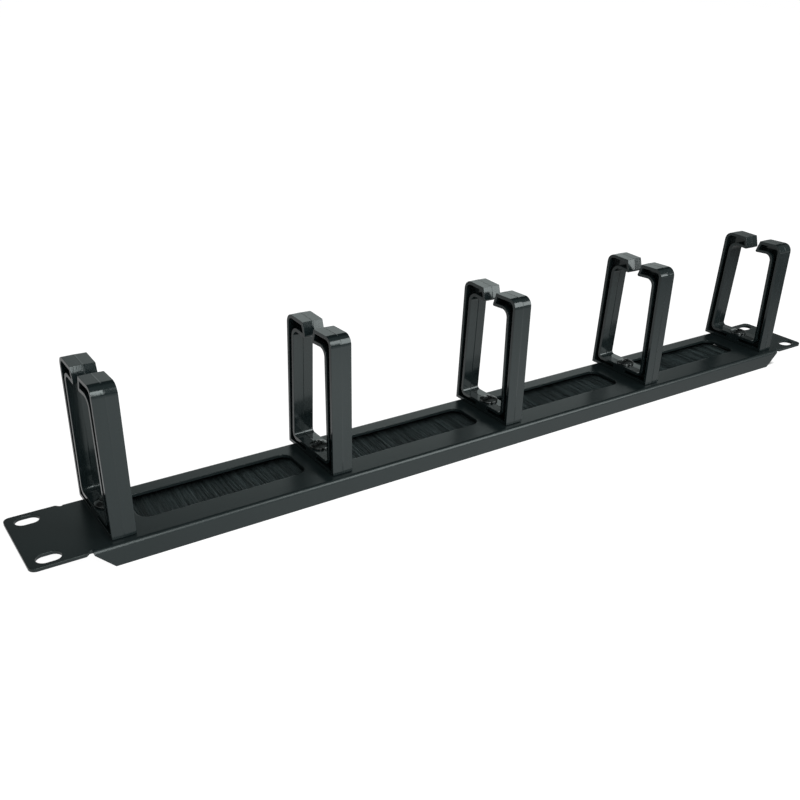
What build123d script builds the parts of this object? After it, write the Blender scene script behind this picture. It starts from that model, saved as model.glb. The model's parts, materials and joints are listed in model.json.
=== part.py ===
from build123d import *
import math
import os

# Horizontal cable manager for a 19-inch rack, one rack unit high.
# Origin: centre of the four rack slots, on the rear (mounting) face of the panel.
# +X runs along the panel, +Z points out of the front of the rack.
# All sizes are in millimetres.

# Driving dimensions of the folded panel
PANEL_LENGTH = 482.6
PANEL_HEIGHT = 43.8
SHEET = 1.5
BEND_INSIDE = 0.4
FLANGE_DEPTH = 9.6
FLANGE_LENGTH = 433.0
FLANGE_END_START = 0.3
EAR_HEIGHT = 43.0
EAR_CORNER = 3.0
RACK_SLOT_SPACING_X = 465.1
RACK_SLOT_SPACING_Y = 31.75
RACK_SLOT_LENGTH = 10.2
RACK_SLOT_WIDTH = 7.0
RELIEF_FLOOR = 1.4
RELIEF_DEPTH = 1.5
RELIEF_CORNER = 0.6
RELIEF_MOUTH_CORNER = 1.0

# Row of brush openings, a little above the middle
OPENING_Y = 2.9
OPENING_COUNT = 4
OPENING_PITCH = 101.6
OPENING_LENGTH = 80.0
OPENING_HEIGHT = 21.4
OPENING_CORNER = 5.0

# Moulded cable ring, open at the top
RING_COUNT = 5
RING_PITCH = 102.8
RING_SHIFT = 2.8
RING_Y = 3.4
RING_DEPTH = 42.8
RING_LEAN = 1.3
RING_HEIGHT = 66.6
RING_TOP_DIP = 0.5
RING_WIDTH = 10.2
RING_ARM = 5.7
RING_ARM_TOP = 6.1
RING_BASE = 5.2
RING_ROOF = 6.7
RING_TIP = 7.0
RING_TOP_CORNER = 4.7
RING_TOP_CORNER_INSIDE = 3.6
RING_BASE_CORNER = 0.5
RING_BASE_CORNER_INSIDE = 1.8
RING_OUTER_WALL = 1.7
RING_INNER_WALL = 1.7
RING_WEB = 1.6
RING_DRAFT = 1.0
GAP_TOP = 10.0
GAP_BOTTOM = 5.4
GAP_TIP_RADIUS = 0.9
TIP_WALL = 1.6
RING_BOSS = 9.0

# Fasteners of the rings, M4
RING_SCREW = 4.0
RING_SCREW_HOLE = 4.5
RING_SCREW_LENGTH = 12.0
HEAD_DIAMETER = 9.4
HEAD_HEIGHT = 2.3
HEAD_RIM = 0.8
POINT_CHAMFER = 0.4
RECESS_SPAN = 4.4
RECESS_SLOT = 1.1
RECESS_DEPTH = 1.7
RECESS_TAPER = 12.0
RING_NUT_FLATS = 7.0
RING_NUT_HEIGHT = 3.2
RING_WASHER_DIAMETER = 9.0
RING_WASHER_THICKNESS = 0.8

# Strip brush behind each opening
STRIP_LENGTH = 84.0
STRIP_SHIFT = 1.2
HOLDER_FOOT = 1.2
HOLDER_WALL = 0.6
HOLDER_Y_MIN = -19.2
HOLDER_Y_MAX = -8.0
CHANNEL_DEPTH = 3.0
CHANNEL_HEIGHT = 3.0
CHANNEL_LIP = 0.4
BACKING_THICKNESS = 0.4
BRISTLE_THICKNESS = 2.2
BRISTLE_TIP_Y = 16.6
BRISTLE_WAVES = 28
BRISTLE_WAVE_DEPTH = 0.35
STUD_DIAMETER = 3.0
STUD_LENGTH = 6.4
STUD_FLANGE = 4.4
STUD_FLANGE_THICKNESS = 0.7
STUD_HOLE = 4.8
STUD_Y = -16.0
STUD_SPREAD = 56.0
STUD_NUT_FLATS = 5.5
STUD_NUT_FLANGE = 6.4
STUD_NUT_HEIGHT = 3.0
STUD_CHAMFER = 0.3
NUT_FLANGE_THICKNESS = 0.8
NUT_CHAMFER = 0.5
THREAD_CLEARANCE = 0.05

RING_X = [RING_SHIFT + RING_PITCH * (i - (RING_COUNT - 1) / 2) for i in range(RING_COUNT)]
OPENING_X = [OPENING_PITCH * (i - (OPENING_COUNT - 1) / 2) for i in range(OPENING_COUNT)]
STRIP_X = [x + STRIP_SHIFT for x in OPENING_X]
STUD_X = [x + end * STUD_SPREAD / 2 for x in STRIP_X for end in (-1, 1)]
TIP_TOP = RING_HEIGHT - RING_TOP_DIP
TIP_LOW = TIP_TOP - RING_TIP


def folded_channel():
    """The middle of the panel: a plate with both long edges folded back, cut at 45 degrees at the ends."""
    with BuildPart() as channel:
        with BuildSketch(Plane.YZ):
            outer_radius = SHEET + BEND_INSIDE
            with Locations((0, SHEET - FLANGE_DEPTH / 2)):
                outside = Rectangle(PANEL_HEIGHT, FLANGE_DEPTH)
            fillet(outside.vertices().group_by(Axis.Y)[-1], outer_radius)
            with BuildSketch(Plane.YZ, mode=Mode.PRIVATE) as hollow:
                inner_depth = FLANGE_DEPTH - SHEET
                with Locations((0, -inner_depth / 2)):
                    inside = Rectangle(PANEL_HEIGHT - 2 * SHEET, inner_depth)
                fillet(inside.vertices().group_by(Axis.Y)[-1], BEND_INSIDE)
            add(hollow.sketch_local, mode=Mode.SUBTRACT)
        extrude(amount=FLANGE_LENGTH / 2, both=True)
        end = FLANGE_LENGTH / 2
        bottom = SHEET - FLANGE_DEPTH
        run = -FLANGE_END_START - bottom
        for side in (-1, 1):
            with BuildSketch(Plane.XZ):
                Polygon(
                    (side * end, -FLANGE_END_START),
                    (side * (end - run - 1), bottom - 1),
                    (side * (end + 1), bottom - 1),
                    (side * (end + 1), -FLANGE_END_START),
                    align=None,
                )
            extrude(amount=PANEL_HEIGHT, both=True, mode=Mode.SUBTRACT)
    return channel.part


def bend_relief():
    """Notch between a flange and the ear at +X: upright at the flange's end and sloping open to the ear."""
    inner = FLANGE_LENGTH / 2
    low = EAR_HEIGHT / 2 - RELIEF_DEPTH
    with BuildSketch() as notch:
        Polygon(
            (inner, low),
            (inner + RELIEF_FLOOR, low),
            (inner + RELIEF_FLOOR + 2 * RELIEF_DEPTH, low + 2 * RELIEF_DEPTH),
            (inner, low + 2 * RELIEF_DEPTH),
            align=None,
        )
        fillet(notch.vertices().group_by(Axis.Y)[0], RELIEF_CORNER)
    return notch.sketch


def ear():
    """The rack ear at +X: flat plate with rounded outer corners, two slots and two bend reliefs."""
    inner = FLANGE_LENGTH / 2
    outer = PANEL_LENGTH / 2
    half = EAR_HEIGHT / 2
    with BuildPart() as plate:
        with BuildSketch():
            with Locations(((inner + outer) / 2, 0)):
                Rectangle(outer - inner, EAR_HEIGHT)
            add(bend_relief(), mode=Mode.SUBTRACT)
            add(mirror(bend_relief(), Plane.XZ), mode=Mode.SUBTRACT)
        extrude(amount=SHEET)
        upright = plate.edges().filter_by(Axis.Z)
        fillet(upright.group_by(Axis.X)[-1], EAR_CORNER)
        upright = plate.edges().filter_by(Axis.Z)
        mouth = inner + RELIEF_FLOOR + RELIEF_DEPTH
        mouths = [
            e for e in upright
            if abs(e.center().X - mouth) < 0.01 and abs(abs(e.center().Y) - half) < 0.01
        ]
        fillet(mouths, RELIEF_MOUTH_CORNER)
        slots = [
            (RACK_SLOT_SPACING_X / 2, edge * RACK_SLOT_SPACING_Y / 2) for edge in (-1, 1)
        ]
        with BuildSketch():
            with Locations(slots):
                SlotOverall(RACK_SLOT_LENGTH, RACK_SLOT_WIDTH)
        extrude(amount=SHEET, mode=Mode.SUBTRACT)
    return plate.part


def face_panel():
    """The whole panel, one folded sheet: channel, ears, brush openings and ring screw holes."""
    with BuildPart() as panel:
        add(folded_channel())
        add(ear())
        add(mirror(ear(), Plane.YZ))
        with BuildSketch():
            with Locations([(x, OPENING_Y) for x in OPENING_X]):
                RectangleRounded(OPENING_LENGTH, OPENING_HEIGHT, OPENING_CORNER)
            with Locations([(x, RING_Y) for x in RING_X]):
                Circle(RING_SCREW_HOLE / 2)
        extrude(amount=SHEET, mode=Mode.SUBTRACT)
    return panel.part


def ring_outside(grow):
    """Outer outline of the ring in its own plane, moved inward by -grow; its top dips towards the gap."""
    foot = RING_DEPTH / 2 + grow
    head = RING_DEPTH / 2 - RING_LEAN + grow
    with BuildSketch() as sketch:
        Polygon(
            (-foot, -grow),
            (foot, -grow),
            (head, RING_HEIGHT + grow),
            (GAP_TOP / 2, TIP_TOP + grow),
            (-GAP_TOP / 2, TIP_TOP + grow),
            (-head, RING_HEIGHT + grow),
            align=None,
        )
        fillet(sketch.vertices().group_by(Axis.Y)[-1], RING_TOP_CORNER + grow)
        if grow == 0:
            fillet(sketch.vertices().group_by(Axis.Y)[0], RING_BASE_CORNER)
    return sketch.sketch


def ring_inside(grow):
    """Inner outline of the ring, grown outward by grow: leaning arms and an underside that dips to the gap."""
    foot = RING_DEPTH / 2 - RING_ARM + grow
    head = RING_DEPTH / 2 - RING_LEAN - RING_ARM_TOP + grow
    top = RING_HEIGHT - RING_ROOF + grow
    tip = TIP_LOW + grow
    with BuildSketch() as sketch:
        Polygon(
            (-foot, RING_BASE - grow),
            (foot, RING_BASE - grow),
            (head, top),
            (GAP_BOTTOM / 2, tip),
            (-GAP_BOTTOM / 2, tip),
            (-head, top),
            align=None,
        )
        fillet(sketch.vertices().group_by(Axis.Y)[0], RING_BASE_CORNER_INSIDE + grow)
        shoulders = [v for v in sketch.vertices() if abs(abs(v.X) - head) < 0.01]
        fillet(shoulders, RING_TOP_CORNER_INSIDE + grow)
    return sketch.sketch


def ring_gap(grow):
    """The gap at the top of the ring, a funnel that narrows downward, widened by grow on each side."""
    slope = (GAP_TOP - GAP_BOTTOM) / 2 / RING_TIP
    low = TIP_LOW - 4
    high = TIP_TOP + 2
    half_low = GAP_BOTTOM / 2 - 4 * slope + grow
    half_high = GAP_TOP / 2 + 2 * slope + grow
    with BuildSketch() as sketch:
        Polygon((-half_low, low), (half_low, low), (half_high, high), (-half_high, high), align=None)
    return sketch.sketch


def cable_ring(x):
    """One cable ring: an H-section strap with a parting line at half its width and draft to both sides."""
    strap = ring_outside(0) - ring_inside(0) - ring_gap(0)
    lips = [
        v for v in strap.vertices()
        if abs(v.Y - TIP_LOW) < 0.2 and abs(v.X) < GAP_BOTTOM
    ]
    strap = fillet(lips, GAP_TIP_RADIUS)
    hollow = ring_outside(-RING_OUTER_WALL) - ring_inside(RING_INNER_WALL) - ring_gap(TIP_WALL)
    hollow -= Pos(0, RING_BASE / 2) * Rectangle(RING_BOSS, 2 * RING_BASE)
    half = RING_WIDTH / 2
    body = extrude(strap.face(), half, taper=RING_DRAFT)
    body += mirror(body, Plane.XY)
    pockets = Pos(0, 0, RING_WEB / 2) * extrude(hollow, RING_WIDTH)
    body -= pockets + mirror(pockets, Plane.XY)
    body -= Rot(90, 0, 0) * Cylinder(RING_SCREW_HOLE / 2, 4 * RING_BASE)
    frame = Plane(origin=(x, RING_Y, SHEET), x_dir=(0, 1, 0), z_dir=(1, 0, 0))
    return frame * body


def ring_screw(x):
    """Low-domed cross-recessed screw, turned as one body with its plain shank."""
    under = SHEET + RING_BASE
    radius = HEAD_DIAMETER / 2
    shank = RING_SCREW / 2
    rise = HEAD_HEIGHT - HEAD_RIM
    ball = (radius**2 + rise**2) / (2 * rise)
    halfway = HEAD_HEIGHT - ball + math.sqrt(ball**2 - radius**2 / 4)
    with BuildPart() as screw:
        with BuildSketch(Plane.XZ):
            with BuildLine():
                Polyline(
                    (0, HEAD_HEIGHT),
                    (0, -RING_SCREW_LENGTH),
                    (shank - POINT_CHAMFER, -RING_SCREW_LENGTH),
                    (shank, POINT_CHAMFER - RING_SCREW_LENGTH),
                    (shank, 0),
                    (radius, 0),
                    (radius, HEAD_RIM),
                )
                ThreePointArc((radius, HEAD_RIM), (radius / 2, halfway), (0, HEAD_HEIGHT))
            make_face()
        revolve(axis=Axis.Z)
        with BuildSketch(Plane.XY.offset(HEAD_HEIGHT)):
            Rectangle(RECESS_SPAN, RECESS_SLOT)
            Rectangle(RECESS_SLOT, RECESS_SPAN)
        extrude(amount=-RECESS_DEPTH, taper=RECESS_TAPER, mode=Mode.SUBTRACT)
    return Pos(x, RING_Y, under) * screw.part


def ring_washer(x):
    """Plain washer under the nut, against the rear face of the panel."""
    washer = Cylinder(RING_WASHER_DIAMETER / 2, RING_WASHER_THICKNESS)
    washer -= Cylinder(RING_SCREW_HOLE / 2, 2 * RING_WASHER_THICKNESS)
    return Pos(x, RING_Y, -RING_WASHER_THICKNESS / 2) * washer


def hex_nut(flats, height, bore):
    """Hexagon nut from z = 0 downward, with the corners turned off at its outer face."""
    corner = flats / math.cos(math.pi / 6) / 2
    blank = extrude(RegularPolygon(corner, 6), height)
    turned = Cylinder(corner, height, align=(Align.CENTER, Align.CENTER, Align.MIN))
    far_rim = turned.edges().filter_by(GeomType.CIRCLE).group_by(Axis.Z)[0]
    turned = chamfer(far_rim, NUT_CHAMFER)
    nut = (blank & turned) - Cylinder(bore / 2, 4 * height)
    return Pos(0, 0, -height) * nut


def ring_nut(x):
    nut = hex_nut(RING_NUT_FLATS, RING_NUT_HEIGHT, RING_SCREW + THREAD_CLEARANCE)
    return Pos(x, RING_Y, -RING_WASHER_THICKNESS) * nut


def channel_corners():
    """Lowest and highest corner of the space inside the holder's channel, as (y, z) pairs."""
    y_high = HOLDER_Y_MAX - HOLDER_WALL
    z_high = -HOLDER_WALL
    return (y_high - CHANNEL_DEPTH, z_high - CHANNEL_HEIGHT), (y_high, z_high)


def brush_holder(x):
    """Drawn holder profile: a foot against the panel and a lipped channel that grips the strip brush."""
    (y0, z0), (y1, z1) = channel_corners()
    back = y0 - HOLDER_WALL
    low = z0 - HOLDER_WALL
    with BuildPart() as holder:
        with BuildSketch(Plane.YZ):
            with BuildLine():
                Polyline(
                    (HOLDER_Y_MIN, 0),
                    (HOLDER_Y_MAX, 0),
                    (HOLDER_Y_MAX, z1 - CHANNEL_LIP),
                    (y1, z1 - CHANNEL_LIP),
                    (y1, z1),
                    (y0, z1),
                    (y0, z0),
                    (y1, z0),
                    (y1, z0 + CHANNEL_LIP),
                    (HOLDER_Y_MAX, z0 + CHANNEL_LIP),
                    (HOLDER_Y_MAX, low),
                    (back, low),
                    (back, -HOLDER_FOOT),
                    (HOLDER_Y_MIN, -HOLDER_FOOT),
                    close=True,
                )
            make_face()
        extrude(amount=STRIP_LENGTH / 2, both=True)
        with BuildSketch():
            with Locations((-STUD_SPREAD / 2, STUD_Y), (STUD_SPREAD / 2, STUD_Y)):
                Circle(STUD_HOLE / 2)
        extrude(amount=-2 * HOLDER_FOOT, mode=Mode.SUBTRACT)
    return Pos(x, 0, 0) * holder.part


def brush_backing(x):
    """Crimped steel channel that closes round the roots of the bristles."""
    (y0, z0), (y1, z1) = channel_corners()
    middle = (z0 + z1) / 2
    with BuildPart() as backing:
        with BuildSketch(Plane.YZ):
            with Locations(((y0 + y1) / 2, middle)):
                shell = Rectangle(y1 - y0, z1 - z0)
            fillet(shell.vertices().group_by(Axis.X)[0], 1.0)
            inner_height = z1 - z0 - 2 * BACKING_THICKNESS
            with Locations(((y0 + y1) / 2 + BACKING_THICKNESS, middle)):
                Rectangle(y1 - y0, inner_height, mode=Mode.SUBTRACT)
        extrude(amount=STRIP_LENGTH / 2, both=True)
    return Pos(x, 0, 0) * backing.part


def brush_bristles(x):
    """The row of bristles as one body, with tufts that show as shallow waves on both faces and at the tips."""
    (y0, z0), (y1, z1) = channel_corners()
    middle = (z0 + z1) / 2
    root = y0 + BACKING_THICKNESS
    half = BRISTLE_THICKNESS / 2
    pitch = STRIP_LENGTH / BRISTLE_WAVES
    crest = half
    valley = half - BRISTLE_WAVE_DEPTH
    start = -STRIP_LENGTH / 2
    with BuildPart() as bristles:
        with BuildSketch(Plane.XZ.offset(-BRISTLE_TIP_Y)):
            with BuildLine():
                upper = [(start, middle + valley)]
                for i in range(BRISTLE_WAVES):
                    upper.append((start + (i + 0.5) * pitch, middle + crest))
                    upper.append((start + (i + 1) * pitch, middle + valley))
                lower = [(px, 2 * middle - pz) for px, pz in reversed(upper)]
                Polyline(*upper, *lower, close=True)
            make_face()
        extrude(amount=BRISTLE_TIP_Y - root)
    return Pos(x, 0, 0) * bristles.part


def brush_stud(x):
    """Weld stud on the rear face of the panel, with the small flange that the weld melts onto the sheet."""
    stud = Cylinder(STUD_DIAMETER / 2, STUD_LENGTH, align=(Align.CENTER, Align.CENTER, Align.MAX))
    stud = chamfer(stud.edges().filter_by(GeomType.CIRCLE).group_by(Axis.Z)[0], STUD_CHAMFER)
    stud += Cylinder(
        STUD_FLANGE / 2, STUD_FLANGE_THICKNESS, align=(Align.CENTER, Align.CENTER, Align.MAX)
    )
    return Pos(x, STUD_Y, 0) * stud


def brush_nut(x):
    """Flange nut that clamps the holder's foot to the panel."""
    bore = STUD_DIAMETER + THREAD_CLEARANCE
    flange = Cylinder(
        STUD_NUT_FLANGE / 2, NUT_FLANGE_THICKNESS, align=(Align.CENTER, Align.CENTER, Align.MAX)
    )
    flange -= Cylinder(bore / 2, 4 * NUT_FLANGE_THICKNESS)
    nut = hex_nut(STUD_NUT_FLATS, STUD_NUT_HEIGHT, bore) + flange
    return Pos(x, STUD_Y, -HOLDER_FOOT) * nut


def save(name, *solids):
    """Write one node: a single solid, or identical fasteners as a group of separate solids."""
    shape = solids[0] if len(solids) == 1 else Compound(children=list(solids))
    export_step(shape, f"parts/{name}.step")


os.makedirs("parts", exist_ok=True)
save("face_panel", face_panel())
for number, ring_x in enumerate(RING_X, start=1):
    save(f"cable_ring_{number}", cable_ring(ring_x))
for number, strip_x in enumerate(STRIP_X, start=1):
    save(f"brush_holder_{number}", brush_holder(strip_x))
    save(f"brush_backing_{number}", brush_backing(strip_x))
    save(f"brush_bristles_{number}", brush_bristles(strip_x))
save("ring_screws", *[ring_screw(x) for x in RING_X])
save("ring_washers", *[ring_washer(x) for x in RING_X])
save("ring_nuts", *[ring_nut(x) for x in RING_X])
save("brush_studs", *[brush_stud(x) for x in STUD_X])
save("brush_nuts", *[brush_nut(x) for x in STUD_X])
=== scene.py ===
# %% [markdown]
# # Horizontal cable manager
#
# A rack one unit high holds this part: one folded steel panel, five plastic rings that keep
# patch cables in a row, and a brush behind each of the four openings. The solids come from the
# CAD frame at their real size. This script gives every surface its finish, makes the brushes out
# of single bristles, cuts the threads that the solids leave out, and lights the result.

# %% Load the frame
import json
import math

import bpy
import numpy as np
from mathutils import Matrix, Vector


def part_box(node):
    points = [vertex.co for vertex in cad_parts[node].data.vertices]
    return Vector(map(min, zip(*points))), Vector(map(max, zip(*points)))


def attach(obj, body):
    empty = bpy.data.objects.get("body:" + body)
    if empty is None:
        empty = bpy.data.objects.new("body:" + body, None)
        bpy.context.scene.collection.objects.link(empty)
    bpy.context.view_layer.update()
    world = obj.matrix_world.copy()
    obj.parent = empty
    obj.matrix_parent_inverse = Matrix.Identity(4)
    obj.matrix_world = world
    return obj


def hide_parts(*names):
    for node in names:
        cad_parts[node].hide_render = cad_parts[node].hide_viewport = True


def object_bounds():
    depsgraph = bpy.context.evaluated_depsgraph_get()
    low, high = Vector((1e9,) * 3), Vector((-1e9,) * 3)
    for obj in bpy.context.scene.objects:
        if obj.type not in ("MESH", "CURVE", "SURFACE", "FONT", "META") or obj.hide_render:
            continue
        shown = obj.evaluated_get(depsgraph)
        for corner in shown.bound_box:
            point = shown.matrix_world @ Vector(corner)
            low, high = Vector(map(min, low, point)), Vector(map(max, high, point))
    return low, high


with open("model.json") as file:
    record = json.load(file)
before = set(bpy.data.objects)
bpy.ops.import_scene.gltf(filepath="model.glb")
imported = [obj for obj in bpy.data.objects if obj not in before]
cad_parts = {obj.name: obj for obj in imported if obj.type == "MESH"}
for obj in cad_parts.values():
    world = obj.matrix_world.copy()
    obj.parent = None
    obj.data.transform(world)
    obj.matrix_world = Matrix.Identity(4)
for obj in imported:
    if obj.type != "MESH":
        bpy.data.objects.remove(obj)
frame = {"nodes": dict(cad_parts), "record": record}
cad_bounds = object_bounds()
MM = 0.001
print("nodes in the frame:", len(frame["nodes"]))

# %% [markdown]
# ## Camera
#
# The photograph was taken from the near left corner, a little above the rings. The camera's
# place, its three turns and its focal length in pixels come from a pinhole camera fitted to the
# rack slots, the openings and the rings, whose real places are known. Blender wants the focal
# length in millimetres on a sensor of a known width, and the point where the optical axis meets
# the picture as a small shift, so both are worked out from the pixels.

# %% Camera
PICTURE_PIXELS = 800
SENSOR_WIDTH = 36.0
FOCAL_PIXELS = 921.81
AXIS_PIXEL = (400.0, 465.92)
CAMERA_PLACE = (-0.29060, -0.33722, 0.20992)
CAMERA_TURN = (1.06939, -0.02937, -0.59275)

camera_data = bpy.data.cameras.new("camera")
camera_data.sensor_width = SENSOR_WIDTH
camera_data.lens = FOCAL_PIXELS * SENSOR_WIDTH / PICTURE_PIXELS
camera_data.shift_x = (PICTURE_PIXELS / 2 - AXIS_PIXEL[0]) / PICTURE_PIXELS
camera_data.shift_y = (AXIS_PIXEL[1] - PICTURE_PIXELS / 2) / PICTURE_PIXELS
camera_data.clip_start = 0.01
camera_data.clip_end = 50.0
camera = bpy.data.objects.new("camera", camera_data)
camera.location = CAMERA_PLACE
camera.rotation_euler = CAMERA_TURN
bpy.context.scene.collection.objects.link(camera)
bpy.context.scene.camera = camera
bpy.context.scene.view_settings.view_transform = "Standard"
print("lens in mm:", round(camera_data.lens, 2))

# %% [markdown]
# ## Arithmetic on shader sockets
#
# A finish is a formula: a base value plus a little noise, limited to some places. Written as
# loose nodes, such a formula is hard to read. Here a small class wraps a node's output and
# overloads the arithmetic operators, so that `1 - mask * 0.2` adds its Math nodes by itself. Nearly
# every other node comes from one function, `node`, which sets the node's options first and its
# sockets after them. Colours don't go through Math nodes, which would turn them grey, so `blend`
# mixes two of them with a Mix node.

# %% Shader arithmetic
class Wire:
    """One output socket of a shader node, which plain arithmetic can be written with."""

    def __init__(self, tree, socket):
        self.tree = tree
        self.socket = socket

    def math(self, operation, *others):
        """One Math node whose first input is this wire and whose other inputs follow."""
        values = {0: self}
        values.update({i: other for i, other in enumerate(others, start=1)})
        return node(self.tree, "ShaderNodeMath", {"operation": operation}, values)

    def __add__(self, other):
        return self.math("ADD", other)

    def __mul__(self, other):
        return self.math("MULTIPLY", other)

    def __sub__(self, other):
        return self.math("SUBTRACT", other)

    def __rsub__(self, other):
        return node(self.tree, "ShaderNodeMath", {"operation": "SUBTRACT"}, {0: other, 1: self})

    __radd__ = __add__
    __rmul__ = __mul__


def node(tree, kind, options=None, sockets=None, output=0):
    """Add a node, set its options, then give its sockets values or links, and return one output."""
    made = tree.nodes.new(kind)
    for name, value in (options or {}).items():
        setattr(made, name, value)
    connect(tree, made, sockets or {})
    return Wire(tree, made.outputs[output])


def connect(tree, made, sockets):
    """Link each named or numbered input of a node to a wire, or give it a plain value."""
    for name, value in sockets.items():
        if isinstance(value, Wire):
            tree.links.new(value.socket, made.inputs[name])
        else:
            made.inputs[name].default_value = value


def shade_of(color, level):
    """A colour for a socket: red, green and blue times a level, and full opacity."""
    return (*(level * c for c in color), 1.0)


def blend(tree, amount, first, second):
    """The first colour where amount is 0, the second where it is 1. The node clamps amount."""
    sockets = {"Factor": amount, 6: first, 7: second}
    return node(tree, "ShaderNodeMix", {"data_type": "RGBA"}, sockets, output=2)


print("white at half its level:", shade_of((1.0, 1.0, 1.0), 0.5))

# %% [markdown]
# ## A material to start from
#
# Every finish starts with the same few things: a Principled shader, the place on the object as a
# vector, and a soft edge. The Bevel node rounds the shading across a sharp edge by a fraction of a
# millimetre, as paint and moulding do, and leaves the mesh alone. Its result is the normal that
# the surface's fine bumps are added to.

# %% Material base
BEVEL_SAMPLES = 6


class Finish:
    """A material with its Principled shader, object coordinates and one place where bumps end."""

    def __init__(self, name, color, **fixed):
        self.material = bpy.data.materials.new(name)
        self.material.use_nodes = True
        self.tree = self.material.node_tree
        self.shader = self.tree.nodes["Principled BSDF"]
        self.color = color
        connect(self.tree, self.shader, {"Base Color": (*color, 1.0), **fixed})
        self.place = node(self.tree, "ShaderNodeTexCoord", output="Object")
        self.normal = None

    def soft_edges(self, radius):
        """Round the shading of sharp edges by a radius in metres. Bumps are added on top."""
        options, sockets = {"samples": BEVEL_SAMPLES}, {"Radius": radius}
        self.normal = node(self.tree, "ShaderNodeBevel", options, sockets)

    def noise(self, size, detail=2.0, stretch=(1.0, 1.0, 1.0), rough=0.5):
        """Noise between 0 and 1 whose blobs measure about size metres, stretched along the axes."""
        scaled = node(
            self.tree,
            "ShaderNodeMapping",
            {"vector_type": "POINT"},
            {"Vector": self.place, "Scale": tuple(1 / (size * s) for s in stretch)},
        )
        return node(
            self.tree,
            "ShaderNodeTexNoise",
            {},
            {"Vector": scaled, "Scale": 1.0, "Detail": detail, "Roughness": rough},
            output="Fac",
        )

    def set(self, **varying):
        """Feed sockets of the shader by name, with spaces written as underscores."""
        connect(self.tree, self.shader, {k.replace("_", " "): v for k, v in varying.items()})

    def tint(self, amount, darkest=0.7, lightest=1.3):
        """Vary the base colour between two multiples of itself with a wire from 0 to 1."""
        low, high = shade_of(self.color, darkest), shade_of(self.color, lightest)
        self.set(Base_Color=blend(self.tree, amount, low, high))

    def bump(self, height, distance):
        """Raise the surface by height, a wire from 0 to 1, times distance in metres."""
        sockets = {"Height": height, "Distance": distance, "Strength": 1.0}
        if self.normal is not None:
            sockets["Normal"] = self.normal
        self.normal = node(self.tree, "ShaderNodeBump", {}, sockets)

    def done(self):
        """Connect the last bump to the shader and hand over the material."""
        if self.normal is not None:
            self.set(Normal=self.normal)
        print(self.material.name, "nodes:", len(self.tree.nodes))
        return self.material


print("a finish has:", [name for name in vars(Finish) if not name.startswith("_")])

# %% [markdown]
# ## Powder coat
#
# The panel is black powder coat: powder that melts on the steel and flows almost flat. What is
# left is a fine orange peel, blobs less than a millimetre wide and about a hundredth high, which
# spreads reflections into a soft sheen. The coat itself is nearly black, so most of what the eye
# sees on it is that sheen. Two noises make it: the peel itself as a bump, and a slower drift of
# gloss where the coat is thicker.

# %% Powder coat
NEAR_BLACK = (0.0055, 0.009, 0.0095)
COOL_SHEEN = (0.90, 1.0, 0.99, 1.0)
PEEL_SIZE = 0.7 * MM
PEEL_HEIGHT = 0.012 * MM
DRIFT_SIZE = 25 * MM


def powder_coat():
    finish = Finish("powder_coat", NEAR_BLACK, Roughness=0.3, IOR=1.46)
    finish.set(Specular_Tint=COOL_SHEEN)
    finish.soft_edges(0.4 * MM)
    peel = finish.noise(PEEL_SIZE, detail=3.0)
    drift = finish.noise(DRIFT_SIZE)
    finish.tint(drift, 0.85, 1.15)
    finish.set(Roughness=0.25 + drift * 0.05 + peel * 0.03)
    finish.bump(peel, PEEL_HEIGHT)
    return finish.done()


finishes = {"powder_coated_steel": powder_coat()}

# %% [markdown]
# ## Moulded plastic
#
# The rings are injection moulded in a polished tool, so they are glossier than the panel. Long,
# weak flow marks run up the arms, and where the two halves of the tool met a hair line of plastic
# stands up at half the width of every ring. The rings repeat at one pitch, so the distance to
# the nearest parting line is the distance along X, wrapped round that pitch.

# %% Moulded plastic
RING_PITCH = 102.8 * MM
RINGS_BEFORE = 10
ring_low, ring_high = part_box("cable_ring_3")
RING_MIDDLE = (ring_low.x + ring_high.x) / 2
SEAM_HALF = 0.22 * MM
SEAM_HEIGHT = 0.08 * MM
FLOW_SIZE = 6 * MM
FLOW_STRETCH = (0.35, 0.35, 5.0)
GRAIN_SIZE = 0.5 * MM
FLOW_HEIGHT = 0.02 * MM


def parting_line(finish):
    """1 on a parting line, falling to 0 at SEAM_HALF from it.

    A Math node's MODULO keeps the sign of what is divided, so a few pitches are added first.
    """
    along = node(finish.tree, "ShaderNodeSeparateXYZ", {}, {"Vector": finish.place}, output="X")
    shifted = along - (RING_MIDDLE - RINGS_BEFORE * RING_PITCH)
    wrapped = shifted.math("MODULO", RING_PITCH)
    distance = wrapped.math("MINIMUM", RING_PITCH - wrapped)
    source = {"Value": distance, "From Min": 0.0, "From Max": SEAM_HALF}
    return node(finish.tree, "ShaderNodeMapRange", {}, {**source, "To Min": 1.0, "To Max": 0.0})


def moulded_plastic():
    finish = Finish("moulded_plastic", NEAR_BLACK, Roughness=0.13, IOR=1.5)
    finish.set(Specular_Tint=COOL_SHEEN)
    finish.soft_edges(0.25 * MM)
    flow = finish.noise(FLOW_SIZE, detail=3.0, stretch=FLOW_STRETCH)
    grain = finish.noise(GRAIN_SIZE)
    finish.tint(flow, 0.9, 1.1)
    finish.set(Roughness=0.09 + flow * 0.08)
    finish.bump(parting_line(finish), SEAM_HEIGHT)
    finish.bump(flow + grain * 0.15, FLOW_HEIGHT)
    return finish.done()


finishes["moulded_plastic"] = moulded_plastic()

# %% [markdown]
# ## Metals
#
# The ring screws are black zinc plated, the hardware behind the panel is bright zinc, and the brush
# holders are drawn aluminium with fine lines along their length. These three share one recipe with
# other numbers: a metal whose roughness drifts, with a grain that is round or stretched along X.
# The brush backings are galvanised. That shows as flat crystals, made by a Voronoi texture.

# %% Metals
CLOUD_SIZE = 9 * MM
CRYSTAL_SIZE = 3 * MM


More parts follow.
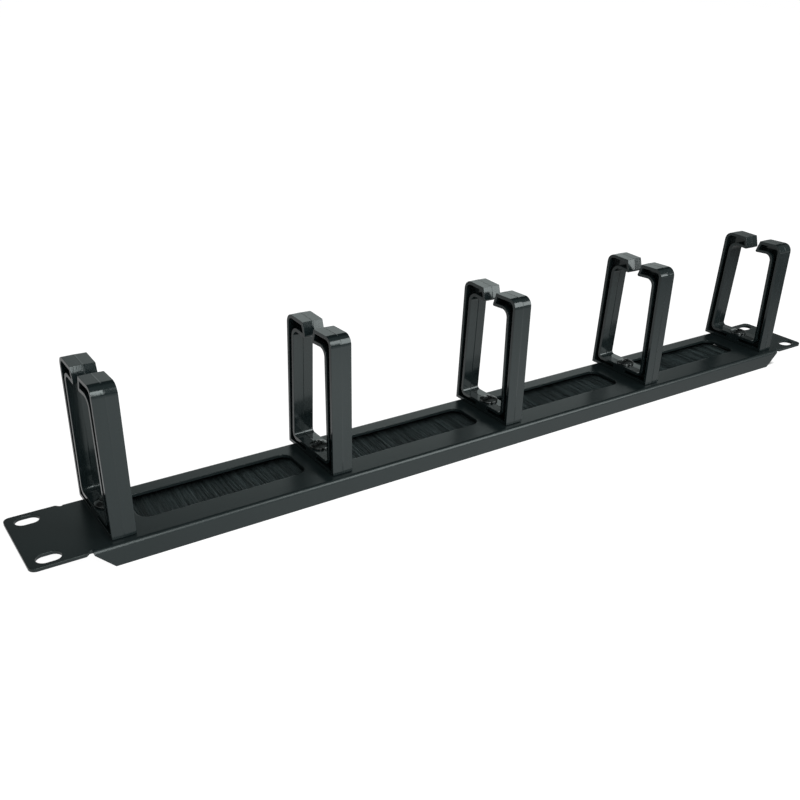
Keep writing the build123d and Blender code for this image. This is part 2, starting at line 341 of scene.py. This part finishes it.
def plated(name, color, roughness, grain_size, stretch=(1.0, 1.0, 1.0)):
    finish = Finish(name, color, Metallic=1.0, Roughness=roughness)
    finish.soft_edges(0.12 * MM)
    grain = finish.noise(grain_size, detail=4.0, stretch=stretch)
    cloud = finish.noise(CLOUD_SIZE)
    finish.tint(cloud, 0.85, 1.1)
    finish.set(Roughness=roughness - 0.08 + grain * 0.12 + cloud * 0.06)
    finish.bump(grain, 0.01 * MM)
    return finish.done()


def galvanised():
    """Zinc that froze in flat crystals a few millimetres wide, each with its own shade."""
    finish = Finish("galvanised", (0.42, 0.43, 0.45), Metallic=1.0, Roughness=0.45)
    sockets = {"Vector": finish.place, "Scale": 1 / CRYSTAL_SIZE}
    crystal = node(finish.tree, "ShaderNodeTexVoronoi", {}, sockets, output="Color")
    shade = node(finish.tree, "ShaderNodeSeparateColor", {}, {"Color": crystal}, output="Red")
    finish.tint(shade, 0.7, 1.2)
    finish.set(Roughness=0.36 + shade * 0.2)
    return finish.done()


finishes["blackened_steel"] = plated("black_zinc", (0.12, 0.128, 0.128), 0.24, 0.4 * MM)
finishes["zinc_plated_steel"] = plated("bright_zinc", (0.62, 0.63, 0.66), 0.3, 0.5 * MM)
finishes["drawn_aluminium"] = plated(
    "drawn_aluminium", (0.58, 0.58, 0.59), 0.36, 0.15 * MM, stretch=(200.0, 1.0, 1.0)
)
finishes["galvanised_steel"] = galvanised()

# %% [markdown]
# ## Bristle nylon
#
# Each bristle is a nylon thread with a soft shine. One bristle differs from the next only a
# little, so every bristle carries a number from 0 to 1 as an attribute of its mesh, and the
# colour and the gloss follow it.

# %% Bristle nylon
def bristle_nylon():
    finish = Finish("bristle_nylon", (0.024, 0.034, 0.035), Roughness=0.4)
    finish.set(Specular_Tint=COOL_SHEEN)
    options = {"attribute_name": "bristle_shade"}
    shade = node(finish.tree, "ShaderNodeAttribute", options, output="Fac")
    finish.tint(shade, 0.35, 1.65)
    finish.set(Roughness=0.32 + shade * 0.2)
    return finish.done()


finishes["brush_nylon"] = bristle_nylon()

# %% [markdown]
# ## Finishes on the solids
#
# The record of the part names a material slot for every solid. Each mesh comes with one plain
# material, which gives way to the finish of its slot. The meshes themselves stay as they are.

# %% Give every CAD node its finish
for part in frame["record"]["subparts"]:
    piece = frame["nodes"][part["node"]]
    piece.data.materials.clear()
    piece.data.materials.append(finishes[part["material_slot"]])
print("finishes:", sorted(finishes))

# %% [markdown]
# ## Bristles
#
# A strip brush is thousands of threads folded over a wire and crimped into a channel, in tufts.
# One block with a striped material would look flat at the opening's edge and at the tips, so
# each bristle is a thin three-sided prism that tapers to its tip. They are worked out together:
# one array holds the centre line of every bristle at every station along its length, and a
# triangle is carried along each line.

# %% Surfaces from arrays
def new_piece(name, points, face_groups, slot, attributes=None, crease=None):
    """Make a smooth piece from an array of points and arrays of faces, which may differ in corners.

    Edges between faces that meet at more than the angle crease stay sharp.
    """
    mesh = bpy.data.meshes.new(name)
    corners = np.concatenate([group.ravel() for group in face_groups])
    sizes = np.concatenate([np.full(len(group), group.shape[1]) for group in face_groups])
    mesh.vertices.add(len(points))
    mesh.vertices.foreach_set("co", points.astype(np.float32).ravel())
    mesh.loops.add(len(corners))
    mesh.loops.foreach_set("vertex_index", corners.astype(np.int32))
    mesh.polygons.add(len(sizes))
    mesh.polygons.foreach_set("loop_start", (np.cumsum(sizes) - sizes).astype(np.int32))
    mesh.polygons.foreach_set("use_smooth", np.ones(len(sizes), bool))
    for label, values in (attributes or {}).items():
        mesh.attributes.new(label, "FLOAT", "POINT").data.foreach_set("value", values)
    mesh.update(calc_edges=True)
    if crease is not None:
        mesh.set_sharp_from_angle(angle=crease)
    mesh.materials.append(finishes[slot])
    piece = bpy.data.objects.new(name, mesh)
    bpy.context.scene.collection.objects.link(piece)
    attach(piece, "root")
    return piece


# %% Bristle strips
BRISTLES = 3700
STATIONS = 5
THREAD_RADIUS = 0.13 * MM
TIP_SHARE = 0.75
RAGGED_TIPS = 0.7 * MM
TUFT_PITCH = 3.0 * MM
LEAN_FIRST = 2.6 * MM
LEAN_LAST = 0.3 * MM
END_FAN = 6.0 * MM
END_LEAN = 0.3
LEAN_LIMIT = 0.8
DEPTH_SHARE = 0.9
FIRST_SEED = 100


def bristle_lines(low, high, rng):
    """Centre lines of all bristles of a strip, and the number of each bristle's tuft.

    A bristle starts in the channel, runs along Y and leans along +X:
    place = root + lean * s^1.5 along X, + spread * s along Z, with s from 0 to 1.
    The lean falls from LEAN_FIRST at the first end of the strip to LEAN_LAST at the other, with a
    slow drift, a part for each tuft and a part for each bristle. Over END_FAN at the first end it
    is smaller, and nowhere does a bristle lean past LEAN_LIMIT of its distance to an end.
    """
    length = high.x - low.x
    start = np.sort(rng.random(BRISTLES)) * length
    tuft = np.floor(start / TUFT_PITCH).astype(int)
    along = start / length
    drift = 0.35 * np.sin(along * 9.0 + low.x * 40) + 0.2 * np.sin(along * 23.0)
    tuft_lean = rng.normal(0.0, 0.08, tuft.max() + 1)[tuft]
    lean = LEAN_LAST + (LEAN_FIRST - LEAN_LAST) * (1 - along) ** 1.3
    lean = lean * np.clip(END_LEAN + start / END_FAN, END_LEAN, 1.0)
    lean = lean + (drift + tuft_lean + rng.normal(0.0, 0.4, BRISTLES)) * MM
    lean = np.clip(lean, -LEAN_LIMIT * start, LEAN_LIMIT * (length - start))
    s = np.linspace(0.0, 1.0, STATIONS)[None, :]
    layer = rng.random(BRISTLES)
    thickness = high.z - low.z - 2 * THREAD_RADIUS
    root_z = (low.z + high.z) / 2 + (layer - 0.5) * thickness * DEPTH_SHARE
    tuft_rise = rng.normal(0.0, 0.14, tuft.max() + 1)[tuft]
    spread = (tuft_rise + rng.normal(0.0, 0.1, BRISTLES)) * MM
    tip_y = high.y - rng.random(BRISTLES) ** 2 * RAGGED_TIPS
    x = low.x + start[:, None] + lean[:, None] * s**1.5
    y = low.y + (tip_y - low.y)[:, None] * s
    z = root_z[:, None] + spread[:, None] * s
    x = np.clip(x, low.x + THREAD_RADIUS, high.x - THREAD_RADIUS)
    z = np.clip(z, low.z + THREAD_RADIUS, high.z - THREAD_RADIUS)
    return np.stack([x, y, z], axis=2), tuft


def bristle_strip(number):
    """Carry a triangle along every bristle: point = line + radius * (cos a, 0, sin a)."""
    low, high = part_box(f"brush_bristles_{number}")
    rng = np.random.default_rng(FIRST_SEED + number)
    lines, tuft = bristle_lines(low, high, rng)
    angle = rng.random(BRISTLES)[:, None] * 2 * math.pi + np.arange(3) * 2 * math.pi / 3
    ring = np.stack([np.cos(angle), np.zeros_like(angle), np.sin(angle)], axis=2)
    taper = np.linspace(1.0, TIP_SHARE, STATIONS)[None, :, None, None] * THREAD_RADIUS
    points = lines[:, :, None, :] + ring[:, None, :, :] * taper
    index = np.arange(points[..., 0].size).reshape(BRISTLES, STATIONS, 3)
    after = np.roll(index, -1, axis=2)
    sides = np.stack([index[:, :-1], index[:, 1:], after[:, 1:], after[:, :-1]], axis=-1)
    ends = np.concatenate([index[:, -1, ::-1], index[:, 0]])
    tuft_shade = rng.random(tuft.max() + 1)[tuft]
    shade = np.repeat(0.3 * tuft_shade + 0.7 * rng.random(BRISTLES), STATIONS * 3)
    piece = new_piece(
        f"bristles_{number}",
        points.reshape(-1, 3),
        [sides.reshape(-1, 4), ends],
        "brush_nylon",
        {"bristle_shade": shade.astype(np.float32)},
    )
    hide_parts(f"brush_bristles_{number}")
    return piece


for number in range(1, 5):
    strip = bristle_strip(number)
    print(strip.name, "faces:", len(strip.data.polygons))

# %% [markdown]
# ## Threads and the screws' recess
#
# The solids carry plain shanks. A real screw has a thread, and the cross in its head has soft
# edges that catch the light, so the screws and studs are drawn again in the same place and size.
# Each one is a stack of closed rows, from the tip up to the top, and every row has the same
# number of points, whether it is a circle, a turn of thread or the outline of the cross. Faces
# between neighbouring rows and a fan at each end then close the surface. All rows start at -45
# degrees, where the cross has an inner corner, so that points with the same number lie in line.

# %% Rows of points
ARM_STEPS = 6
END_STEPS = 4
COLUMNS = 4 * (2 * ARM_STEPS + END_STEPS)
COLUMN_ANGLES = -math.pi / 4 + np.arange(COLUMNS) * 2 * math.pi / COLUMNS
ROWS_PER_TURN = 8
THREAD_DEPTH = 0.61
FLANK_SLOPE = 1.3
FLANK_START = 0.15
LEAD_IN = 0.5 * MM
CREASE = math.radians(28)


def circles(radius, height):
    """Rows of points (r cos a, r sin a, z) from an array of radii and one of heights."""
    across, up = radius * np.cos(COLUMN_ANGLES), radius * np.sin(COLUMN_ANGLES)
    return np.stack([across, up, height + 0 * across], axis=2)


def turned_rows(profile):
    """Circles for a list of (radius, height) pairs."""
    return circles(*np.array(profile, float).T[:, :, None])


def thread_rows(radius, pitch, low, high):
    """Rows of a right-hand thread from the height low up to high.

    Along a turn the phase is t = z / pitch - a / 2 pi, less its whole part. Crest and root are
    flat and joined by straight flanks, and the thread's depth is THREAD_DEPTH times the pitch.
    Over LEAD_IN at the tip the radius is held back to a cone.
    """
    rows = max(2, round((high - low) / pitch * ROWS_PER_TURN))
    z = np.linspace(low, high, rows)[:, None]
    phase = np.mod(z / pitch - COLUMN_ANGLES[None, :] / (2 * math.pi), 1.0)
    flank = np.clip(FLANK_SLOPE * (1 - np.abs(2 * phase - 1)) - FLANK_START, 0.0, 1.0)
    cone = radius - LEAD_IN + (z - low)
    return circles(np.minimum(radius - THREAD_DEPTH * pitch * flank, cone), z)


def cross_outline(length, width):
    """Points of a cross, counter-clockwise from the inner corner at -45 degrees."""
    out = np.linspace(width, length, ARM_STEPS, endpoint=False)
    across = np.linspace(-width, width, END_STEPS, endpoint=False)
    back = np.linspace(length, width, ARM_STEPS, endpoint=False)
    u = np.concatenate([out, np.full(END_STEPS, length), back])
    v = np.concatenate([np.full(ARM_STEPS, -width), across, np.full(ARM_STEPS, width)])
    quarter = np.arange(4)[:, None] * math.pi / 2
    x = u * np.cos(quarter) - v * np.sin(quarter)
    y = u * np.sin(quarter) + v * np.cos(quarter)
    return np.stack([x.ravel(), y.ravel()], axis=1)


def stacked(rows):
    """Points and faces of the closed surface through rows, an array of row, column and axis."""
    count = len(rows)
    index = np.arange(count * COLUMNS).reshape(count, COLUMNS)
    after = np.roll(index, -1, axis=1)
    sides = np.stack([index[:-1], after[:-1], after[1:], index[1:]], axis=2).reshape(-1, 4)
    centres = np.stack([rows[0].mean(axis=0), rows[-1].mean(axis=0)])
    first, last = count * COLUMNS, count * COLUMNS + 1
    low_fan = np.stack([np.full(COLUMNS, first), after[0], index[0]], axis=1)
    high_fan = np.stack([np.full(COLUMNS, last), index[-1], after[-1]], axis=1)
    points = np.concatenate([rows.reshape(-1, 3), centres])
    return points, sides, np.concatenate([low_fan, high_fan])


def repeated(rows, places):
    """The same stacked surface at several places, as one array of points and two of faces."""
    points, sides, fans = stacked(rows)
    steps = np.arange(len(places))[:, None, None] * len(points)
    moved = points[None, :, :] + np.array(places)[:, None, :]
    return moved.reshape(-1, 3), [(sides + steps).reshape(-1, 4), (fans + steps).reshape(-1, 3)]


print("points in a row:", COLUMNS)

# %% [markdown]
# ## Ring screws
#
# A ring is held by one M4 screw with a low domed head and a cross recess. The dome is part of a
# ball. Between the head's round rim and the cross, the rows change step by step from a circle to
# the cross and keep to the ball, and one more row sinks the recess.

# %% Ring screws
SCREW_RADIUS = 2.0 * MM
SCREW_PITCH = 0.7 * MM
SCREW_LENGTH = 12.0 * MM
HEAD_RADIUS = 4.7 * MM
HEAD_HEIGHT = 2.3 * MM
HEAD_RIM = 0.8 * MM
RECESS_LENGTH = 2.2 * MM
RECESS_WIDTH = 0.55 * MM
RECESS_DEPTH = 1.7 * MM
RECESS_DRAFT = 0.36 * MM
RECESS_EDGE = 0.08 * MM
RIM_EDGE = 0.12 * MM
CAP_ROWS = 7


def dome(x, y):
    """Height of the head's dome above its underside: a ball's cap through the rim and the top."""
    rise = HEAD_HEIGHT - HEAD_RIM
    ball = (HEAD_RADIUS**2 + rise**2) / (2 * rise)
    return HEAD_HEIGHT - ball + np.sqrt(ball**2 - x**2 - y**2)


def screw_rows():
    """Thread, head and recess of one ring screw, with the head's underside at height 0."""
    thread = thread_rows(SCREW_RADIUS, SCREW_PITCH, -SCREW_LENGTH, 0.0)
    shoulder = HEAD_RADIUS - RIM_EDGE / 2
    rim = turned_rows([
        (HEAD_RADIUS - RIM_EDGE, 0.0),
        (HEAD_RADIUS, RIM_EDGE),
        (HEAD_RADIUS, HEAD_RIM - RIM_EDGE),
        (shoulder, dome(shoulder, 0.0)),
    ])
    mouth = cross_outline(RECESS_LENGTH + RECESS_EDGE, RECESS_WIDTH + RECESS_EDGE)
    steps = np.linspace(0.0, 1.0, CAP_ROWS + 1)[1:, None, None]
    plan = rim[-1][None, :, :2] * (1 - steps) + mouth[None] * steps
    cap = np.concatenate([plan, dome(plan[..., 0], plan[..., 1])[..., None]], axis=2)
    lip = cross_outline(RECESS_LENGTH, RECESS_WIDTH)
    lip_z = dome(lip[:, 0], lip[:, 1]) - RECESS_EDGE
    floor = cross_outline(RECESS_LENGTH - RECESS_DRAFT, RECESS_WIDTH - RECESS_DRAFT)
    floor_z = np.full(COLUMNS, HEAD_HEIGHT - RECESS_DEPTH)
    recess = np.stack([np.column_stack([lip, lip_z]), np.column_stack([floor, floor_z])])
    return np.concatenate([thread, rim, cap, recess])


def ring_screws():
    """The five screws as one piece, each in the middle of its ring."""
    low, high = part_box("ring_screws")
    places = []
    for number in range(1, 6):
        start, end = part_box(f"cable_ring_{number}")
        places.append(((start.x + end.x) / 2, (low.y + high.y) / 2, low.z + SCREW_LENGTH))
    points, faces = repeated(screw_rows(), places)
    piece = new_piece("threaded_ring_screws", points, faces, "blackened_steel", crease=CREASE)
    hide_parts("ring_screws")
    return piece


print("ring screws, faces:", len(ring_screws().data.polygons))

# %% [markdown]
# ## Brush studs
#
# Every brush holder sits on two M3 studs that are welded to the rear of the panel. They need the
# same two kinds of rows, thread and circles, and the places come from the holders' boxes.

# %% Brush studs
STUD_RADIUS = 1.5 * MM
STUD_PITCH = 0.5 * MM
STUD_SPREAD = 56.0 * MM
WELD_RADIUS = 2.2 * MM
WELD_THICKNESS = 0.7 * MM
WELD_EDGE = 0.15 * MM


def brush_studs():
    """The eight weld studs, with their tips down and the weld flange against the panel."""
    low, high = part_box("brush_studs")
    thread = thread_rows(STUD_RADIUS, STUD_PITCH, low.z, high.z - WELD_THICKNESS)
    flange = turned_rows([
        (WELD_RADIUS - WELD_EDGE, high.z - WELD_THICKNESS),
        (WELD_RADIUS, high.z - WELD_THICKNESS + WELD_EDGE),
        (WELD_RADIUS, high.z),
    ])
    places = []
    for number in range(1, 5):
        start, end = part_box(f"brush_holder_{number}")
        for side in (-0.5, 0.5):
            places.append(((start.x + end.x) / 2 + side * STUD_SPREAD, (low.y + high.y) / 2, 0.0))
    points, faces = repeated(np.concatenate([thread, flange]), places)
    piece = new_piece("threaded_studs", points, faces, "zinc_plated_steel", crease=CREASE)
    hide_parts("brush_studs")
    return piece


print("brush studs, faces:", len(brush_studs().data.polygons))

# %% [markdown]
# ## Floor and background
#
# The photograph has a white background and almost no shadow. The floor is a pale matt plane. Rays
# that come from the camera, from a glossy surface or through glass see most of it as a glow, and
# the rest of its shader is a real diffuse surface, so a soft shadow stays and light comes up from
# the floor to the object. The glow is plain white for the camera. In a reflection the glow is a
# painted pool of light that is brightest below the near edge of the panel, because the folded edge
# mirrors the table there and darkens towards both ends. To the right the table lies in shade,
# painted into the glow, which makes the last rings darker, and the rest of the floor has an even,
# lower level. Right under the panel no light arrives, so the glow between its flanges is painted
# dark, a painted shadow. Seen from below the floor is clear, so that the back of the panel can be
# looked at too.

# %% Rays that see the background
WHITE = (1.0, 1.0, 1.0)


def background_rays(tree):
    """Two wires: 1 for camera, glossy and transmission rays, and 1 for glossy rays alone."""
    path = tree.nodes.new("ShaderNodeLightPath")
    camera_ray, glossy_ray, transmission_ray = (
        Wire(tree, path.outputs[name])
        for name in ("Is Camera Ray", "Is Glossy Ray", "Is Transmission Ray")
    )
    return camera_ray.math("MAXIMUM", glossy_ray).math("MAXIMUM", transmission_ray), glossy_ray


print("white for the background:", WHITE)

# %% Floor
FLOOR_Z = cad_bounds[0][2]
FLOOR_HALF = 6.0
MATT_LEVEL = 0.82
GLOW_SHARE = 0.82
GLOW_LEVEL = 1.17
POOL_CENTRE = (-0.06, -0.14, FLOOR_Z)
POOL_LEVEL = 1.42
POOL_FALL = 3.2
SHADE_CENTRE = (0.42, -0.15, FLOOR_Z)
SHADE_EDGE = (0.16, 0.42)
REST_LEVEL = 0.45
COVERED_LEFT = (-0.206, -0.196)
COVERED_RIGHT = (0.222, 0.214)
COVERED_SIDES = (0.0215, 0.0185)
COVERED_LEVEL = 0.03


def fade(tree, value, outside, inside):
    """0 at the value outside and 1 at the value inside, with a smooth change between them."""
    low, high = sorted((outside, inside))
    options = {"interpolation_type": "SMOOTHSTEP"}
    sockets = {"Value": value, "From Min": low, "From Max": high}
    rising = node(tree, "ShaderNodeMapRange", options, sockets)
    return rising if outside < inside else 1 - rising


def reach(tree, centre):
    """Distance in metres from a point to the place on the floor."""
    place = node(tree, "ShaderNodeTexCoord", output="Object")
    sockets = {0: place, 1: centre}
    return node(tree, "ShaderNodeVectorMath", {"operation": "DISTANCE"}, sockets, "Value")


def covered(tree):
    """1 on the part of the floor that lies between the panel's flanges, 0 outside."""
    sockets = {"Vector": node(tree, "ShaderNodeTexCoord", output="Object")}
    east, north = (node(tree, "ShaderNodeSeparateXYZ", {}, sockets, axis) for axis in "XY")
    ends = fade(tree, east, *COVERED_LEFT) * fade(tree, east, *COVERED_RIGHT)
    return ends * fade(tree, north.math("ABSOLUTE"), *COVERED_SIDES)


def pale_floor():
    """Matt and glow. The pool's level in a reflection is POOL_LEVEL - POOL_FALL * distance."""
    material = bpy.data.materials.new("pale_floor")
    material.use_nodes = True
    tree = material.node_tree
    tree.nodes.remove(tree.nodes["Principled BSDF"])
    seen, glossy_ray = background_rays(tree)
    # Painted pool of light and painted shade: the level of the floor's glow as glossy rays see it.
    rest = fade(tree, reach(tree, SHADE_CENTRE), *SHADE_EDGE) * REST_LEVEL
    pool = (POOL_LEVEL - reach(tree, POOL_CENTRE) * POOL_FALL).math("MAXIMUM", rest)
    color = blend(tree, glossy_ray, shade_of(WHITE, GLOW_LEVEL), pool)
    # Painted shadow: between the panel's flanges the glow falls to COVERED_LEVEL.
    color = blend(tree, covered(tree), color, shade_of(WHITE, COVERED_LEVEL))
    glow = node(tree, "ShaderNodeEmission", {}, {"Color": color, "Strength": 1.0})
    matt = node(tree, "ShaderNodeBsdfDiffuse", {}, {"Color": shade_of(WHITE, MATT_LEVEL)})
    table = node(tree, "ShaderNodeMixShader", {}, {0: seen * GLOW_SHARE, 1: matt, 2: glow})
    clear = node(tree, "ShaderNodeBsdfTransparent")
    below = node(tree, "ShaderNodeNewGeometry", output="Backfacing")
    mixed = node(tree, "ShaderNodeMixShader", {}, {0: below, 1: table, 2: clear})
    connect(tree, tree.nodes["Material Output"], {"Surface": mixed})
    return material


corner = np.array([[-1, -1], [1, -1], [1, 1], [-1, 1]]) * FLOOR_HALF
floor_mesh = bpy.data.meshes.new("floor")
floor_mesh.from_pydata([(x, y, FLOOR_Z) for x, y in corner], [], [(0, 1, 2, 3)])
floor_mesh.materials.append(pale_floor())
floor = bpy.data.objects.new("floor", floor_mesh)
bpy.context.scene.collection.objects.link(floor)
print("floor at height in mm:", round(FLOOR_Z / MM, 2))

# %% [markdown]
# ## Lamps
#
# Two soft boxes stand in front of the object, both to the right of the camera, and look down on it
# at a little over thirty degrees. Black, glossy things show little but reflections, so the places
# of the boxes are read from where the bend of the panel and the shoulders of the rings light up.
# How bright a lamp looks there depends on its power over its area, so the helper works out the
# power.

# %% Lamps
LAMP_DISTANCE = 1.10
LAMP_HEIGHT = 0.70
LAMP_AIM = (0.0, 0.0, 0.03)


def soft_box(name, azimuth, size, radiance):
    """A rectangular lamp whose -Z axis points at LAMP_AIM. Azimuth 0 is in front, towards -Y.

    An area lamp of power P and area A looks as bright as P / (pi A), so P = pi * A * radiance.
    """
    data = bpy.data.lights.new(name, "AREA")
    data.shape = "RECTANGLE"
    data.size, data.size_y = size
    data.energy = math.pi * size[0] * size[1] * radiance
    angle = math.radians(azimuth)
    place = (LAMP_DISTANCE * math.sin(angle), -LAMP_DISTANCE * math.cos(angle), LAMP_HEIGHT)
    away = np.array(place) - np.array(LAMP_AIM)
    tilt = math.atan2(math.hypot(away[0], away[1]), away[2])
    lamp = bpy.data.objects.new(name, data)
    lamp.location = place
    lamp.rotation_euler = (tilt, 0.0, math.atan2(away[0], -away[1]))
    bpy.context.scene.collection.objects.link(lamp)
    return lamp


right_lamp = soft_box("right_lamp", 39.0, (0.65, 1.02), 5.3)
left_lamp = soft_box("left_lamp", -11.0, (0.60, 1.02), 7.8)
print("lamp power:", [round(lamp.data.energy, 1) for lamp in (right_lamp, left_lamp)])

# %% [markdown]
# ## World
#
# The world is the rest of the studio. The camera sees plain white, and matt surfaces are lit by
# an even grey. A glossy surface sees the white backdrop that stands behind the object, a dark
# ceiling above it, and grey walls everywhere else. The panel mirrors the brighter upper part of
# the backdrop, right below its edge, which is why it is so dark where a ring's foot stands in the
# way. What counts is the direction of the ray: its azimuth from +Y towards +X, and its height.
# The backdrop is flat, so the height is measured as the ray's rise over its run along +Y.

# %% World
COOL_WALL = (0.91, 1.0, 0.985)
WALL_LEVEL = 0.22
BACKDROP_LOW = 0.84
BACKDROP_HIGH = 1.42
CEILING_LEVEL = 0.02
DIFFUSE_LEVEL = 0.3
LEFT_EDGE = (1.0, 32.0)
RIGHT_EDGE = (58.0, 45.0)
TOP_EDGE = (0.71, 0.52)
BRIGHTER = (0.42, 0.56)
CEILING_EDGE = (0.56, 0.73)
CEILING_FRONT = (0.05, 0.30)

world = bpy.data.worlds.new("studio")
bpy.context.scene.world = world
world.use_nodes = True
sky = world.node_tree
split = sky.nodes.new("ShaderNodeSeparateXYZ")
connect(sky, split, {"Vector": node(sky, "ShaderNodeTexCoord", output="Generated")})
east, north, up = (Wire(sky, output) for output in split.outputs)
azimuth = east.math("ARCTAN2", north) * math.degrees(1.0)
height = up.math("DIVIDE", north)
sides = fade(sky, azimuth, *LEFT_EDGE) * fade(sky, azimuth, *RIGHT_EDGE)
inside = sides * fade(sky, height, *TOP_EDGE)
overhead = fade(sky, height, *CEILING_EDGE) * fade(sky, north, *CEILING_FRONT)
seen, glossy_ray = background_rays(sky)
wall, low, high, ceiling = (
    shade_of(COOL_WALL, level)
    for level in (WALL_LEVEL, BACKDROP_LOW, BACKDROP_HIGH, CEILING_LEVEL)
)
backdrop = blend(sky, fade(sky, height, *BRIGHTER), low, high)
studio = blend(sky, overhead, blend(sky, inside, wall, backdrop), ceiling)
plain = blend(sky, seen, shade_of(WHITE, DIFFUSE_LEVEL), shade_of(WHITE, 1.0))
shown = blend(sky, glossy_ray, plain, studio)
connect(sky, sky.nodes["Background"], {"Color": shown, "Strength": 1.0})
print("nodes of the world:", len(sky.nodes))

# %% [markdown]
# ## Sizes
#
# Threads and bristles were drawn inside the boxes of the solids that they replace, so the object
# keeps its outer size.
